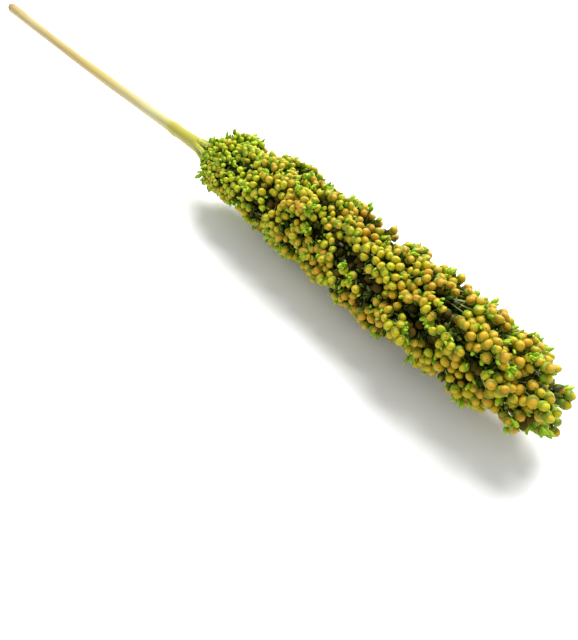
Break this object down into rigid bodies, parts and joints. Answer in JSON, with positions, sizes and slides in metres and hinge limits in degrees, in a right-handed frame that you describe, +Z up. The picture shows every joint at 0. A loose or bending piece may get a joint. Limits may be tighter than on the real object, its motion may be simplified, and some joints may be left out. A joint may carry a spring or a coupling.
{
  "type": "sorghum seed head",
  "caption": "Cut sorghum seed head: a long spindle of ripe seeds in lobed sprays on a straight straw stalk, lying on its side.",
  "frame": {"origin": "the flat spot under the belly of the head, on the surface that it lies on", "axes": "+X along the head from the cut end of the stalk to the tip, +Z up from the surface"},
  "size_m": [0.5505, 0.0445, 0.0444],
  "materials": {
    "ripe_seed": "satin seed coats with green husks between them",
    "dry_straw": "smooth dry straw, faintly ridged along its length"
  },
  "bodies": {
    "root": {"seed_head": "ripe_seed", "stalk": "dry_straw"}
  },
  "joints": []
}
